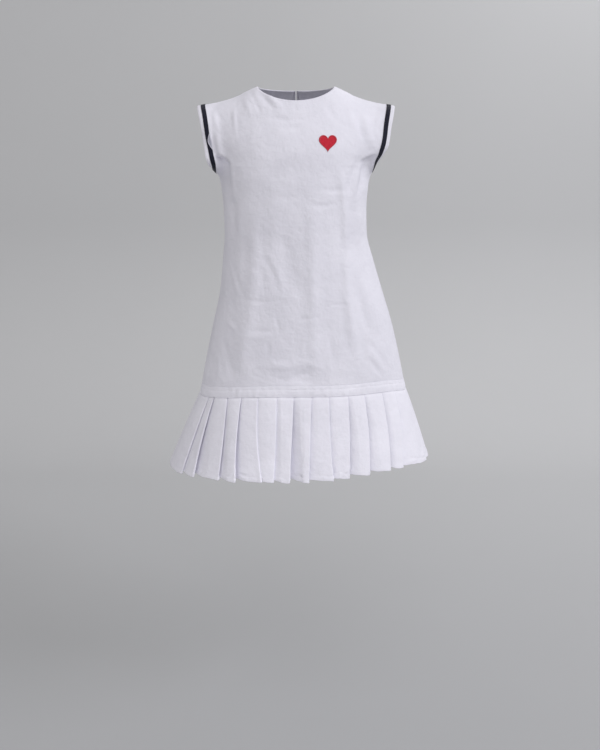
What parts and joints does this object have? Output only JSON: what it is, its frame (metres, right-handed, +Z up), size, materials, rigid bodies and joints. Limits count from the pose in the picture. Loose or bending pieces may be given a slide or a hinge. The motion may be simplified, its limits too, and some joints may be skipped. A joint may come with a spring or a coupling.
{
  "type": "nurse uniform dress",
  "caption": "Sleeveless A-line uniform dress with a round neck, ribbon-trimmed armholes and a knife-pleated flounce on a narrow band, hollow as worn.",
  "frame": {"origin": "on the body's axis at the height of the two neck points, where the shoulder seams meet the neckline; the wearer's shoulders hold the dress there", "axes": "+Z up, the front faces -Y, +X is the wearer's left"},
  "size_m": [0.6081, 0.3929, 0.817],
  "materials": {
    "white_cotton": "matt plain-weave poly-cotton",
    "navy_ribbon": "matt ribbed grosgrain",
    "red_felt": "soft felt, satin stitched at the edge",
    "button_resin": "polished resin",
    "white_thread": "twisted cotton thread"
  },
  "bodies": {
    "root": {"front": "white_cotton", "back_left": "white_cotton", "back_right": "white_cotton", "band_front": "white_cotton", "band_back": "white_cotton", "flounce_front": "white_cotton", "flounce_back": "white_cotton", "ribbon_left": "navy_ribbon", "ribbon_right": "navy_ribbon", "chest_heart": "red_felt", "neck_button": "button_resin", "neck_loop": "white_thread"}
  },
  "joints": []
}
